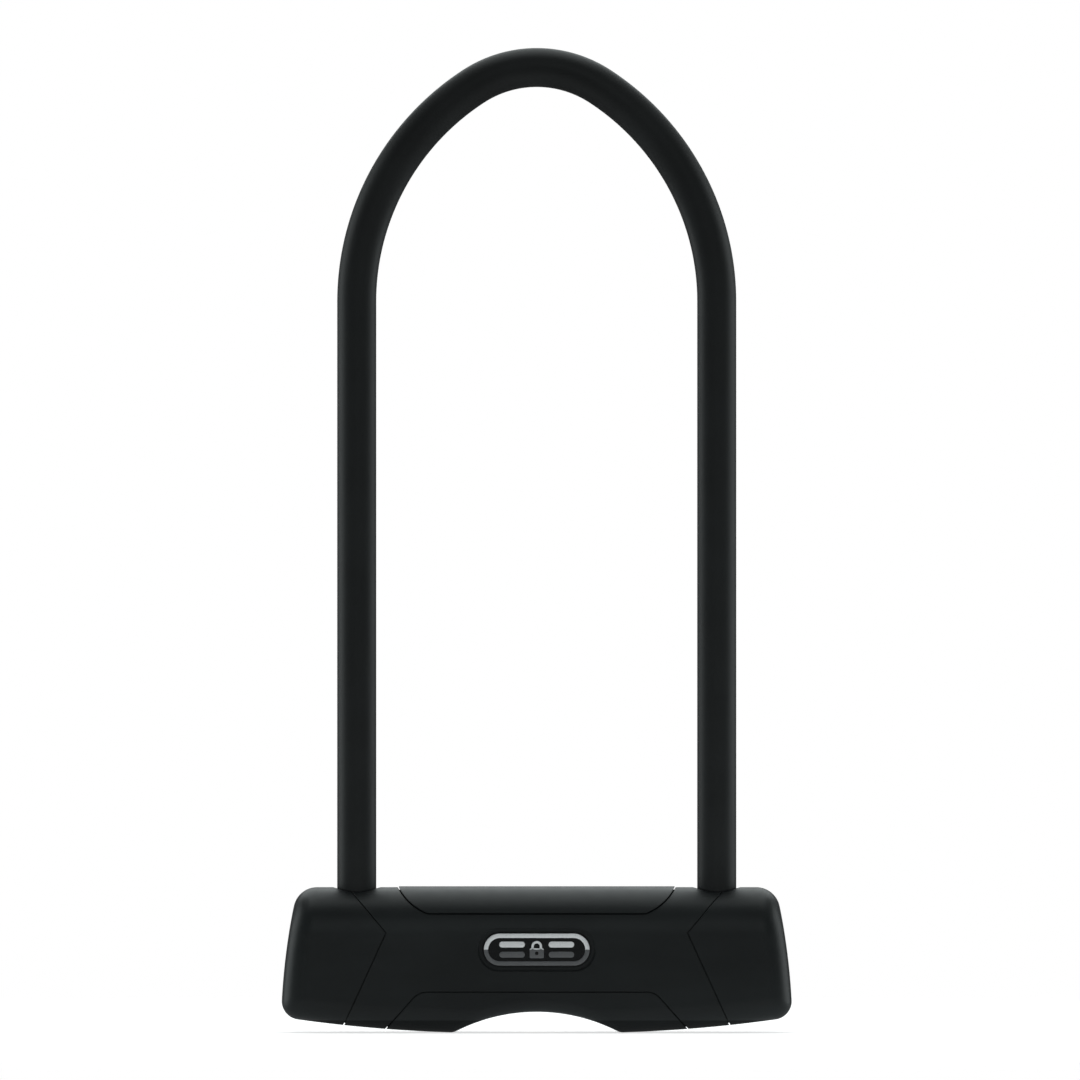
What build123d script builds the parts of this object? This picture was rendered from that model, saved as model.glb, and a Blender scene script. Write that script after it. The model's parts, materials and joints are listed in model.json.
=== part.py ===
"""U lock: a bent, coated steel bar whose two feet are bolted inside a crossbar.

The frame stands the lock up: +Z runs along the legs, X along the crossbar and -Y is the badge side.
The origin is under the middle of the crossbar, level with the lowest edge it stands on.
At rest the lock is closed and unlocked: the feet are home and both bolts are drawn in.
"""

import os
from math import atan2, degrees, pi, radians

from build123d import *

# ---------------------------------------------------------------- driving dimensions, mm

# Shackle
bar_diameter = 12.0
coat_thickness = 0.6
clear_width = 108.0  # between the coated legs
leg_length = 197.2  # from the crossbar's top to the start of the arch
arch_rise = 78.8  # from there to the top of the bar's axis
crown_radius = 39.0  # bend of the bar's axis over the crown
foot_depth = 33.0  # bar below the crossbar's top
foot_chamfer = 1.6

# Crossbar casing, seen from the badge side
body_height = 48.8
body_depth = 34.0
end_reach_top = 19.8  # casing beyond a leg's axis, at the top
end_reach_base = 25.4  # and at the base
end_base_height = 5.2
end_bow = 1.1
base_bow = 0.9
edge_radius = 8.0  # round the front and back outline, and over the top at the ends
arch_edge_radius = 4.0
base_corner_radius = 6.2
finger_arch_width = 56.0
finger_arch_rise = 7.0
casing_wall = 2.5
part_line = 0.4  # visible joint between casing pieces
part_line_depth = 0.8  # deeper in, the pieces meet
fit_gap = 0.1  # play between fixed pieces

# Zigzag joint between sleeve and end cap, as distances from a leg's axis
zigzag_top_outset = 3.2
zigzag_knee_inset = 9.7
zigzag_knee_height = 33.6
zigzag_base_outset = 5.7

# Panel over the top, and key surround underneath, as distances from a leg's axis
top_panel_height = 40.2
top_panel_seam_inset = 24.0
top_panel_top_inset = 14.2
top_panel_side_bow = 1.2
top_panel_proud = 0.3
key_panel_height = 13.5
key_panel_seam_inset = 21.0
key_panel_base_inset = 9.0
key_panel_corner = 6.0

# Openings for the legs
leg_entry_play = 0.7  # from the coat to the casing's hole
leg_funnel = 0.7
coat_sink = 2.4  # coat below the crossbar's top
bush_play = 0.25  # from the bare bar to its bush
bush_ledge = 0.35  # bush trapped under the edge of the hole
bush_top_drop = 3.0  # below the crossbar's top
bush_length = 5.6

# Badge on the front
badge_height = 28.0
badge_length = 35.6
badge_width = 10.8
badge_rim_width = 1.5
badge_pocket_margin = 1.7
badge_pocket_depth = 0.8
badge_pocket_chamfer = 0.5
badge_plate_margin = 0.4
badge_plate_thickness = 1.1
badge_relief = 0.45
badge_seat_depth = 1.6
sign_height = 5.8
sign_width = 4.8
sign_body_height = 3.3
sign_corner = 0.4
sign_bow_width = 3.6
sign_bow_wall = 0.8
sign_keyhole = 1.2
bar_length = 8.6
bar_width = 2.0
bar_pitch = 3.4
bar_inset = 1.6  # from the sign to the bars

# Hardened tube in the crossbar
tube_wall = 3.0
tube_reach = 14.4  # beyond a leg's axis
tube_corner = 5.0
tube_plug_thickness = 3.0

# Bolts
bolt_width = 12.0
bolt_thickness = 6.0
bolt_throw = 5.0
bolt_tip_play = 0.4  # from the drawn bolt to the bar
bolt_side_play = 0.15
bolt_gap_at_centre = 0.6
bolt_nose_chamfer = 0.6
notch_play = 0.4
bolt_pin_diameter = 2.0
bolt_pin_home = 3.6  # from the cylinder's axis, bolts drawn
bolt_pin_bite = 3.5

# Foot blocks and lock carrier
foot_play = 0.25
foot_block_wall = 4.3
foot_floor_play = 0.4
carrier_half_length = 28.0
spring_pin_diameter = 3.0
spring_pin_bore = 1.8
spring_pin_slit = 0.5
cap_pin_outset = 8.7  # from a leg's axis
cap_pin_drop = 1.1  # pins' lower ends below the casing's end corners
cap_pin_bite = 4.5  # into the foot blocks
carrier_pin_offset = 20.0
carrier_pin_length = 9.0

# Lock cylinder, upright on the Z axis with the keyway underneath
key_turn = 90.0  # degrees from open to locked
nose_recess = 1.2
nose_radius = 8.0
housing_radius = 9.0
housing_rear_land = 0.9
lip_thickness = 0.8
lip_overlap = 0.7
core_radius = 6.5
core_running_gap = 0.1
core_wall = 1.3
core_front_wall = 1.2
core_face_boss = 0.5
keyway_length = 6.4
keyway_width = 2.2
shutter_room = 1.6
shutter_thickness = 1.0
shutter_overlap = 0.3
shutter_travel = 2.6
spring_diameter = 1.1
spring_wire = 0.2
spring_turns = 3
retainer_thickness = 1.2
disc_count = 6
disc_thickness = 1.5
spacer_thickness = 0.4
disc_play = 0.15
gate_width = 1.9
gate_depth = 1.2
side_bar_width = 1.6
side_bar_depth = 2.2
side_bar_chamfer = 0.4
side_bar_travel = 1.0
groove_width = 2.2
tail_flange = 2.5
tail_dog_width = 2.8
tail_dog_height = 1.25
tail_shaft_radius = 2.6
tail_square = 3.2
tail_corner = 0.4
clip_thickness = 1.0
clip_inner_radius = 4.2
clip_groove_depth = 0.8
clip_gap = 4.0

# Scroll cam over the cylinder
cam_radius = 10.6
cam_thickness = 2.8
cam_lift = 0.4
cam_to_bolt = 0.5
cam_room = 1.4  # from the cam to the ends of the slot across the carrier
cam_slot_play = 0.12
scroll_steps = 6

# ---------------------------------------------------------------- worked out from them

SIDES = (("left", -1), ("right", 1))

bar_radius = bar_diameter / 2
coat_radius = bar_radius + coat_thickness
leg_x = clear_width / 2 + coat_radius
half_depth = body_depth / 2
arch_half_width = finger_arch_width / 2
round_centre = body_height - half_depth  # axis of the crossbar's rounded top
through = 2 * (leg_x + end_reach_base)  # longer than anything it cuts

spring_line = body_height + leg_length
foot_base = body_height - foot_depth
haunch_radius = (crown_radius**2 - leg_x**2 - (arch_rise - crown_radius) ** 2) / (
    2 * (crown_radius - leg_x)
)
haunch_turn = 180 - degrees(atan2(arch_rise - crown_radius, leg_x - haunch_radius))

tube_radius = half_depth - casing_wall
tube_base = finger_arch_rise + casing_wall
tube_end = leg_x + tube_reach
room_radius = tube_radius - tube_wall
room_base = tube_base + tube_wall
room_end = tube_end - tube_plug_thickness
tube_inner_corner = tube_corner - tube_wall
block_radius = room_radius - fit_gap
block_base = room_base + fit_gap

leg_hole_radius = coat_radius + leg_entry_play
coat_base = body_height - coat_sink
bush_inner_radius = bar_radius + bush_play
bush_outer_radius = leg_hole_radius + bush_ledge
bush_top = body_height - bush_top_drop
bush_base = bush_top - bush_length
socket_radius = bar_radius + foot_play
socket_floor = foot_base - foot_floor_play
foot_block_inner = leg_x - socket_radius - foot_block_wall
spring_pin_radius = spring_pin_diameter / 2
cap_pin_base = end_base_height - cap_pin_drop
cap_pin_top = block_base + cap_pin_bite

nose_z = finger_arch_rise + nose_recess
core_z = nose_z + lip_thickness + core_running_gap
core_bore_radius = core_radius - core_wall
shutter_z = core_z + core_front_wall
retainer_z = shutter_z + shutter_room
disc_z = retainer_z + retainer_thickness
disc_pitch = disc_thickness + spacer_thickness
tail_z = disc_z + disc_count * disc_pitch
core_top = tail_z + tail_flange
clip_z = core_top + core_running_gap
housing_top = clip_z + clip_thickness + housing_rear_land
disc_radius = core_bore_radius - disc_play
gate_floor = disc_radius - gate_depth
side_bar_inner = gate_floor + disc_play
side_bar_outer = side_bar_inner + side_bar_depth
groove_radius = side_bar_outer + side_bar_travel + 2 * core_running_gap

cam_z = housing_top + cam_lift
cam_top = cam_z + cam_thickness
bolt_z = cam_top + cam_to_bolt
bolt_top = bolt_z + bolt_thickness
bolt_tip = leg_x - bar_radius - bolt_tip_play  # drawn in
notch_floor = leg_x - bar_radius + bolt_throw + bolt_side_play
bolt_pin_radius = bolt_pin_diameter / 2

# ---------------------------------------------------------------- shared forms


def crossbar_outline():
    """Front outline of the crossbar with its bowed ends, before the arch for the fingers is cut."""
    base = leg_x + end_reach_base
    top = leg_x + end_reach_top
    with BuildSketch(Plane.XZ) as outline:
        with BuildLine():
            Line((-arch_half_width, 0), (arch_half_width, 0))
            SagittaArc((arch_half_width, 0), (base, end_base_height), -base_bow)
            SagittaArc((base, end_base_height), (top, body_height), -end_bow)
            Line((top, body_height), (-top, body_height))
            SagittaArc((-top, body_height), (-base, end_base_height), -end_bow)
            SagittaArc((-base, end_base_height), (-arch_half_width, 0), -base_bow)
        make_face()
        by_x = outline.vertices().sort_by(Axis.X)
        fillet([by_x[0], by_x[-1]], base_corner_radius)
    return outline.sketch


def arched_section(radius, base, corner):
    """Section across the crossbar: round over the top, upright sides and a flat base."""
    with BuildSketch(Plane.YZ) as section:
        with BuildLine():
            Polyline((-radius, round_centre), (-radius, base), (radius, base), (radius, round_centre))
            ThreePointArc((radius, round_centre), (0, round_centre + radius), (-radius, round_centre))
        make_face()
        if corner > 0:
            fillet(section.vertices().group_by(Axis.Y)[0], corner)
    return section.sketch


def rounded_bar(inset):
    """Crossbar's outer form, pulled in by inset all round, before the arch for the fingers is cut."""
    with BuildPart() as bar:
        with BuildSketch(Plane.XZ):
            add(crossbar_outline())
            if inset > 0:
                offset(amount=-inset)
        extrude(amount=half_depth, both=True)
        section = arched_section(half_depth - inset, -casing_wall, 0)
        extrude(section, amount=through, both=True, mode=Mode.INTERSECT)
        over_the_top = bar.edges().filter_by(GeomType.BSPLINE)
        fillet(over_the_top, edge_radius - inset)
    return bar.part


def zigzag_region(shift):
    """Front outline between the two zigzag joints, pulled in by shift at each."""
    above = body_height + casing_wall
    lean_top = (zigzag_top_outset + zigzag_knee_inset) / (body_height - zigzag_knee_height)
    top = leg_x + zigzag_top_outset + lean_top * casing_wall - shift
    knee = leg_x - zigzag_knee_inset - shift
    lean_base = (zigzag_base_outset + zigzag_knee_inset) / zigzag_knee_height
    base = leg_x + zigzag_base_outset + lean_base * casing_wall - shift
    with BuildSketch(Plane.XZ) as region:
        with BuildLine():
            Polyline(
                (-top, above),
                (-knee, zigzag_knee_height),
                (-base, -casing_wall),
                (base, -casing_wall),
                (knee, zigzag_knee_height),
                (top, above),
                close=True,
            )
        make_face()
    return region.sketch


def top_panel_region(margin):
    """Front outline of the panel over the top, grown by margin."""
    seam = leg_x - top_panel_seam_inset
    top = leg_x - top_panel_top_inset
    above = body_height + casing_wall
    with BuildSketch(Plane.XZ) as region:
        with BuildLine():
            SagittaArc((-seam, top_panel_height), (-top, body_height), top_panel_side_bow)
            Polyline((-top, body_height), (-top, above), (top, above), (top, body_height))
            SagittaArc((top, body_height), (seam, top_panel_height), top_panel_side_bow)
            Line((seam, top_panel_height), (-seam, top_panel_height))
        make_face()
        if margin > 0:
            offset(amount=margin)
    return region.sketch


def key_panel_region(margin):
    """Front outline of the key surround, grown by margin."""
    seam = leg_x - key_panel_seam_inset
    base = leg_x - key_panel_base_inset
    lean = (base - seam) / key_panel_height
    below = base + lean * casing_wall
    with BuildSketch(Plane.XZ) as region:
        with BuildLine():
            Polyline(
                (-below, -casing_wall),
                (-seam, key_panel_height),
                (seam, key_panel_height),
                (below, -casing_wall),
                close=True,
            )
        make_face()
        fillet(region.vertices().group_by(Axis.Y)[-1], key_panel_corner)
        if margin > 0:
            offset(amount=margin)
    return region.sketch


def shackle_axis(start_z):
    """Axis of the bar: two legs, two haunches and the crown, from one foot to the other."""
    with BuildLine(Plane.XZ) as axis:
        leg = Line((-leg_x, start_z), (-leg_x, spring_line))
        haunch = JernArc(leg @ 1, leg % 1, haunch_radius, -haunch_turn)
        crown = JernArc(haunch @ 1, haunch % 1, crown_radius, -(180 - 2 * haunch_turn))
        far = JernArc(crown @ 1, crown % 1, haunch_radius, -haunch_turn)
        Line(far @ 1, (leg_x, start_z))
    return axis.line


def keep(part, name):
    """Names a finished piece and writes its STEP file."""
    part.label = name
    export_step(part, f"parts/{name}.step")


os.makedirs("parts", exist_ok=True)

# ---------------------------------------------------------------- shackle

with BuildPart() as shackle_bar:
    with BuildSketch(Plane.XY.offset(foot_base)):
        with Locations((-leg_x, 0)):
            Circle(bar_radius)
    sweep(path=shackle_axis(foot_base))
    chamfer(shackle_bar.faces().group_by(Axis.Z)[0].edges(), foot_chamfer)
    with BuildSketch(Plane.XZ):
        with Locations((0, (bolt_z + bolt_top) / 2)):
            Rectangle(2 * notch_floor, bolt_thickness + 2 * notch_play)
    extrude(amount=bar_diameter, both=True, mode=Mode.SUBTRACT)
keep(shackle_bar.part, "shackle_bar")

with BuildPart() as shackle_coating:
    with BuildSketch(Plane.XY.offset(coat_base)):
        with Locations((-leg_x, 0)):
            Circle(coat_radius)
            Circle(bar_radius, mode=Mode.SUBTRACT)
    sweep(path=shackle_axis(coat_base))
keep(shackle_coating.part, "shackle_coating")

# ---------------------------------------------------------------- crossbar casing

with BuildPart() as envelope:
    add(rounded_bar(0))
    with BuildSketch(Plane.XZ):
        with BuildLine():
            SagittaArc((-arch_half_width, 0), (arch_half_width, 0), finger_arch_rise)
            Polyline(
                (arch_half_width, 0),
                (arch_half_width, -casing_wall),
                (-arch_half_width, -casing_wall),
                (-arch_half_width, 0),
            )
        make_face()
    extrude(amount=body_depth, both=True, mode=Mode.SUBTRACT)
    arch_faces = envelope.faces().filter_by(GeomType.CYLINDER).filter_by(
        lambda face: face.center().Z < finger_arch_rise + fit_gap and abs(face.center().X) < fit_gap
    )
    fillet(arch_faces.edges().filter_by(lambda edge: abs(edge.center().Y) > fit_gap), arch_edge_radius)

with BuildPart() as envelope_core:
    add(rounded_bar(part_line_depth))
    extrude(zigzag_region(0), amount=body_depth, both=True, mode=Mode.INTERSECT)
    extrude(top_panel_region(0), amount=body_depth, both=True, mode=Mode.SUBTRACT)
    extrude(key_panel_region(0), amount=body_depth, both=True, mode=Mode.SUBTRACT)

with BuildPart() as tube_space:
    space_section = arched_section(tube_radius + fit_gap, tube_base - fit_gap, tube_corner)
    extrude(space_section, amount=tube_end + fit_gap, both=True)

with BuildPart() as leg_openings:
    for _, side in SIDES:
        with BuildSketch(Plane.XZ):
            with BuildLine():
                Polyline(
                    (side * leg_x, bush_base),
                    (side * (leg_x + bush_outer_radius + fit_gap), bush_base),
                    (side * (leg_x + bush_outer_radius + fit_gap), bush_top + fit_gap),
                    (side * (leg_x + leg_hole_radius), bush_top + fit_gap),
                    (side * (leg_x + leg_hole_radius), body_height - leg_funnel),
                    (side * (leg_x + leg_hole_radius + 2 * leg_funnel), body_height + leg_funnel),
                    (side * leg_x, body_height + leg_funnel),
                    close=True,
                )
            make_face()
        revolve(axis=Axis((side * leg_x, 0, 0), (0, 0, 1)))

with BuildPart() as cap_pin_holes:
    with Locations(*[(side * (leg_x + cap_pin_outset), 0, 0) for _, side in SIDES]):
        cap_pin_hole_height = cap_pin_top + fit_gap
        Cylinder(
            spring_pin_radius, cap_pin_hole_height, align=(Align.CENTER, Align.CENTER, Align.MIN)
        )

for name, side in SIDES:
    with BuildPart() as end_cap:
        add(envelope.part)
        extrude(zigzag_region(0), amount=body_depth, both=True, mode=Mode.SUBTRACT)
        with Locations((-side * through / 2, 0, 0)):
            Box(through, through, through, mode=Mode.SUBTRACT)
        add(tube_space.part, mode=Mode.SUBTRACT)
        add(leg_openings.part, mode=Mode.SUBTRACT)
        add(cap_pin_holes.part, mode=Mode.SUBTRACT)
    keep(end_cap.part, f"{name}_end_cap")

badge_plane = Plane.XZ.offset(half_depth)

with BuildPart() as centre_sleeve:
    add(envelope.part)
    extrude(zigzag_region(part_line), amount=body_depth, both=True, mode=Mode.INTERSECT)
    extrude(top_panel_region(part_line), amount=body_depth, both=True, mode=Mode.SUBTRACT)
    extrude(key_panel_region(part_line), amount=body_depth, both=True, mode=Mode.SUBTRACT)
    add(envelope_core.part)
    add(tube_space.part, mode=Mode.SUBTRACT)
    add(leg_openings.part, mode=Mode.SUBTRACT)
    with BuildSketch(badge_plane):
        with Locations((0, badge_height)):
            SlotOverall(badge_length + 2 * badge_pocket_margin, badge_width + 2 * badge_pocket_margin)
    extrude(amount=-badge_pocket_depth, mode=Mode.SUBTRACT)
    with BuildSketch(badge_plane):
        with Locations((0, badge_height)):
            mouth_grow = 2 * (badge_pocket_margin + badge_pocket_chamfer)
            SlotOverall(badge_length + mouth_grow, badge_width + mouth_grow)
    extrude(amount=-badge_pocket_chamfer, taper=45, mode=Mode.SUBTRACT)
    with BuildSketch(badge_plane):
        with Locations((0, badge_height)):
            plate_grow = 2 * (badge_plate_margin + fit_gap)
            SlotOverall(badge_length + plate_grow, badge_width + plate_grow)
    extrude(amount=-badge_seat_depth, mode=Mode.SUBTRACT)
keep(centre_sleeve.part, "centre_sleeve")

with BuildPart() as top_panel:
    panel_room = tube_radius + fit_gap
    with BuildSketch(Plane.YZ):
        with Locations((0, round_centre)):
            Circle(half_depth + top_panel_proud)
            Circle(panel_room, mode=Mode.SUBTRACT)
    extrude(amount=leg_x, both=True)
    extrude(top_panel_region(0), amount=body_depth, both=True, mode=Mode.INTERSECT)
keep(top_panel.part, "top_panel")

with BuildPart() as key_surround:
    add(envelope.part)
    extrude(key_panel_region(0), amount=body_depth, both=True, mode=Mode.INTERSECT)
    add(tube_space.part, mode=Mode.SUBTRACT)
    with BuildSketch(Plane.XY):
        Circle(nose_radius + fit_gap)
    extrude(amount=tube_base, mode=Mode.SUBTRACT)
keep(key_surround.part, "key_surround")

for name, side in SIDES:
    with BuildPart() as leg_bush:
        with BuildSketch(Plane.XY.offset(bush_base)):
            with Locations((side * leg_x, 0)):
                Circle(bush_outer_radius)
                Circle(bush_inner_radius, mode=Mode.SUBTRACT)
        extrude(amount=bush_length)
    keep(leg_bush.part, f"{name}_leg_bush")

# ---------------------------------------------------------------- badge

plate_front = half_depth - badge_seat_depth + badge_plate_thickness
relief_plane = Plane.XZ.offset(plate_front)

with BuildPart() as badge_plate:
    with BuildSketch(Plane.XZ.offset(half_depth - badge_seat_depth)):
        with Locations((0, badge_height)):
            SlotOverall(badge_length + 2 * badge_plate_margin, badge_width + 2 * badge_plate_margin)
    extrude(amount=badge_plate_thickness)
keep(badge_plate.part, "badge_plate")

with BuildPart() as badge_rim:
    with BuildSketch(relief_plane):
        with Locations((0, badge_height)):
            SlotOverall(badge_length, badge_width)
            rim_cut = 2 * badge_rim_width
            SlotOverall(badge_length - rim_cut, badge_width - rim_cut, mode=Mode.SUBTRACT)
    extrude(amount=badge_relief)
keep(badge_rim.part, "badge_rim")

# The emblem is a plain padlock sign between two pairs of bars.
sign_base = badge_height - sign_height / 2
bar_places = GridLocations(sign_width + 2 * bar_inset + bar_length, bar_pitch, 2, 2).locations

with BuildPart() as badge_emblem:
    with BuildSketch(relief_plane):
        with Locations((0, badge_height)):
            SlotOverall(sign_height, sign_bow_width, rotation=90)
            inner_bow = sign_bow_width - 2 * sign_bow_wall
            SlotOverall(sign_height - 2 * sign_bow_wall, inner_bow, rotation=90, mode=Mode.SUBTRACT)
        with Locations((0, sign_base + sign_body_height / 2)):
            RectangleRounded(sign_width, sign_body_height, sign_corner)
            Circle(sign_keyhole / 2, mode=Mode.SUBTRACT)
        with Locations(*[(place.position.X, badge_height + place.position.Y) for place in bar_places]):
            SlotOverall(bar_length, bar_width)
    extrude(amount=badge_relief)
keep(badge_emblem.part, "badge_emblem")

# ---------------------------------------------------------------- crossbar tube and blocks

with BuildPart() as crossbar_tube:
    extrude(arched_section(tube_radius, tube_base, tube_corner), amount=tube_end, both=True)
    room_section = arched_section(room_radius, room_base, tube_inner_corner)
    extrude(room_section, amount=tube_end, both=True, mode=Mode.SUBTRACT)
    with BuildSketch(Plane.XY.offset(round_centre)):
        with Locations((-leg_x, 0), (leg_x, 0)):
            Circle(bush_outer_radius)
    extrude(amount=body_height, mode=Mode.SUBTRACT)
    with BuildSketch(Plane.XY):
        Circle(nose_radius + fit_gap)
    extrude(amount=round_centre, mode=Mode.SUBTRACT)
    with BuildSketch(Plane.XY):
        with Locations((-carrier_pin_offset, 0), (carrier_pin_offset, 0)):
            Circle(spring_pin_radius)
    extrude(amount=round_centre, mode=Mode.SUBTRACT)
    add(cap_pin_holes.part, mode=Mode.SUBTRACT)
keep(crossbar_tube.part, "crossbar_tube")

for name, side in SIDES:
    with BuildPart() as tube_plug:
        extrude(arched_section(room_radius, room_base, tube_inner_corner), amount=side * tube_end)
        with Locations((side * (room_end - through / 2), 0, 0)):
            Box(through, through, through, mode=Mode.SUBTRACT)
    keep(tube_plug.part, f"{name}_tube_plug")

for name, side in SIDES:
    block_end = room_end - fit_gap
    with BuildPart() as foot_block:
        extrude(arched_section(block_radius, block_base, tube_inner_corner), amount=side * block_end)
        with Locations((side * (foot_block_inner - through / 2), 0, 0)):
            Box(through, through, through, mode=Mode.SUBTRACT)
        with BuildSketch(Plane.XY.offset(socket_floor)):
            with Locations((side * leg_x, 0)):
                Circle(socket_radius)
        extrude(amount=body_height, mode=Mode.SUBTRACT)
        with BuildSketch(Plane.XY.offset(bush_base - fit_gap)):
            with Locations((side * leg_x, 0)):
                Circle(bush_outer_radius + fit_gap)
        extrude(amount=body_height, mode=Mode.SUBTRACT)
        with BuildSketch(Plane.YZ):
            with Locations((0, (bolt_z + bolt_top) / 2)):
                Rectangle(bolt_width + 2 * bolt_side_play, bolt_thickness + 2 * bolt_side_play)
        extrude(amount=side * leg_x, mode=Mode.SUBTRACT)
        add(cap_pin_holes.part, mode=Mode.SUBTRACT)
    keep(foot_block.part, f"{name}_foot_block")

with BuildPart() as lock_carrier:
    carrier_section = arched_section(block_radius, block_base, tube_inner_corner)
    extrude(carrier_section, amount=carrier_half_length, both=True)
    with BuildSketch(Plane.XY):
        Circle(housing_radius + fit_gap)
    extrude(amount=cam_z, mode=Mode.SUBTRACT)
    with BuildSketch(Plane.XY.offset(housing_top + fit_gap)):
        Rectangle(2 * (cam_radius + cam_room), body_depth)
    extrude(amount=bolt_z - housing_top, mode=Mode.SUBTRACT)
    with BuildSketch(Plane.YZ):
        with Locations((0, (bolt_z + bolt_top) / 2)):
            Rectangle(bolt_width + 2 * bolt_side_play, bolt_thickness + 2 * bolt_side_play)
    extrude(amount=carrier_half_length, both=True, mode=Mode.SUBTRACT)
    with BuildSketch(Plane.XY):
        with Locations((-carrier_pin_offset, 0), (carrier_pin_offset, 0)):
            Circle(spring_pin_radius)
    extrude(amount=tube_base + carrier_pin_length, mode=Mode.SUBTRACT)
keep(lock_carrier.part, "lock_carrier")


def spring_pins(places, base, length):
    """Rolled spring pins, each a slit tube, standing at the given places."""
    with BuildPart() as pins:
        for place in places:
            with BuildSketch(Plane.XY.offset(base)):
                with Locations(place):
                    Circle(spring_pin_radius)
                    Circle(spring_pin_bore / 2, mode=Mode.SUBTRACT)
                with Locations((place[0], place[1] + spring_pin_radius)):
                    Rectangle(spring_pin_slit, spring_pin_diameter, mode=Mode.SUBTRACT)
            extrude(amount=length)
    return pins.part


cap_pin_length = cap_pin_top - cap_pin_base
cap_pin_places = [(side * (leg_x + cap_pin_outset), 0) for _, side in SIDES]
carrier_pin_places = [(side * carrier_pin_offset, 0) for _, side in SIDES]
keep(spring_pins(cap_pin_places, cap_pin_base, cap_pin_length), "cap_pins")
keep(spring_pins(carrier_pin_places, tube_base, carrier_pin_length), "carrier_pins")

# ---------------------------------------------------------------- lock cylinder

with BuildPart() as cylinder_housing:
    with BuildSketch(Plane.XY.offset(nose_z)):
        Circle(nose_radius)
    extrude(amount=room_base - nose_z)
    with BuildSketch(Plane.XY.offset(block_base)):
        Circle(housing_radius)
    extrude(amount=housing_top - block_base)
    with BuildSketch(Plane.XY.offset(room_base)):
        Circle(nose_radius)
    extrude(amount=block_base - room_base)
    with BuildSketch(Plane.XY.offset(nose_z)):
        Circle(core_radius + core_running_gap - lip_overlap)
    extrude(amount=lip_thickness, mode=Mode.SUBTRACT)
    with BuildSketch(Plane.XY.offset(nose_z + lip_thickness)):
        Circle(core_radius + core_running_gap)
    extrude(amount=housing_top, mode=Mode.SUBTRACT)
    with BuildSketch(Plane.XY.offset(clip_z)):
        Circle(core_radius + core_running_gap + clip_groove_depth)
    extrude(amount=clip_thickness, mode=Mode.SUBTRACT)
    with BuildSketch(Plane.XY.offset(disc_z)):
        with PolarLocations(0, 2, start_angle=90, angular_range=key_turn, endpoint=True):
            with Locations((groove_radius / 2, 0)):
                Rectangle(groove_radius, groove_width)
    extrude(amount=tail_z - disc_z, mode=Mode.SUBTRACT)
keep(cylinder_housing.part, "cylinder_housing")

with BuildPart() as cylinder_core:
    with BuildSketch(Plane.XY.offset(core_z)):
        Circle(core_radius)
    extrude(amount=core_top - core_z)
    with BuildSketch(Plane.XY.offset(core_z - core_face_boss)):
        Circle(core_radius - lip_overlap)
    extrude(amount=core_face_boss)
    with BuildSketch(Plane.XY.offset(shutter_z)):
        Circle(core_bore_radius)
    extrude(amount=core_top, mode=Mode.SUBTRACT)
    with BuildSketch(Plane.XY.offset(core_z - core_face_boss)):
        Rectangle(keyway_length, keyway_width)
    extrude(amount=core_front_wall + core_face_boss, mode=Mode.SUBTRACT)
    with BuildSketch(Plane.XY.offset(disc_z)):
        with Locations((0, core_radius)):
            Rectangle(gate_width, 2 * core_wall + gate_width)
    extrude(amount=tail_z - disc_z, mode=Mode.SUBTRACT)
    with BuildSketch(Plane.XY.offset(core_top - tail_dog_height)):
        Rectangle(2 * core_radius + core_wall, tail_dog_width + 2 * fit_gap)
    extrude(amount=tail_flange, mode=Mode.SUBTRACT)
keep(cylinder_core.part, "cylinder_core")

with BuildPart() as shutter_retainer:
    with BuildSketch(Plane.XY.offset(retainer_z)):
        Circle(core_bore_radius)
        Rectangle(keyway_length, keyway_width, mode=Mode.SUBTRACT)
    extrude(amount=retainer_thickness)
keep(shutter_retainer.part, "shutter_retainer")

with BuildPart() as keyway_shutter:
    shutter_half = keyway_width / 2 + shutter_overlap
    with BuildSketch(Plane.XY.offset(shutter_z + (shutter_room - shutter_thickness) / 2)):
        with Locations((0, -shutter_travel)):
            Circle(core_bore_radius - fit_gap)
        Rectangle(2 * core_bore_radius, 2 * shutter_half, mode=Mode.INTERSECT)
    extrude(amount=shutter_thickness)
keep(keyway_shutter.part, "keyway_shutter")

with BuildPart() as shutter_spring:
    spring_z = shutter_z + shutter_room / 2
    spring_length = core_bore_radius - shutter_half - 2 * spring_wire
    spring_start = (0, shutter_half + spring_wire, spring_z)
    with BuildLine():
        coil = Helix(
            pitch=spring_length / spring_turns,
            height=spring_length,
            radius=(spring_diameter - spring_wire) / 2,
            center=spring_start,
            direction=(0, 1, 0),
        )
    with BuildSketch(Plane(origin=coil @ 0, z_dir=coil % 0)):
        Circle(spring_wire / 2)
    sweep()
keep(shutter_spring.part, "shutter_spring")

with BuildPart() as lock_discs:
    for level in range(disc_count):
        with BuildSketch(Plane.XY.offset(disc_z + level * disc_pitch)):
            Circle(disc_radius)
            Rectangle(keyway_length, keyway_width, mode=Mode.SUBTRACT)
            with Locations((0, disc_radius)):
                Rectangle(gate_width, 2 * gate_depth, mode=Mode.SUBTRACT)
        extrude(amount=disc_thickness)
keep(lock_discs.part, "lock_discs")

with BuildPart() as disc_spacers:
    spacer_half_gate = gate_width / 2 + disc_play
    for level in range(disc_count):
        with BuildSketch(Plane.XY.offset(disc_z + level * disc_pitch + disc_thickness)):
            Circle(disc_radius)
            Circle(keyway_length / 2 + disc_play, mode=Mode.SUBTRACT)
            with Locations((0, disc_radius)):
                Rectangle(2 * spacer_half_gate, 2 * gate_depth, mode=Mode.SUBTRACT)
        extrude(amount=spacer_thickness)
keep(disc_spacers.part, "disc_spacers")

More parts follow.
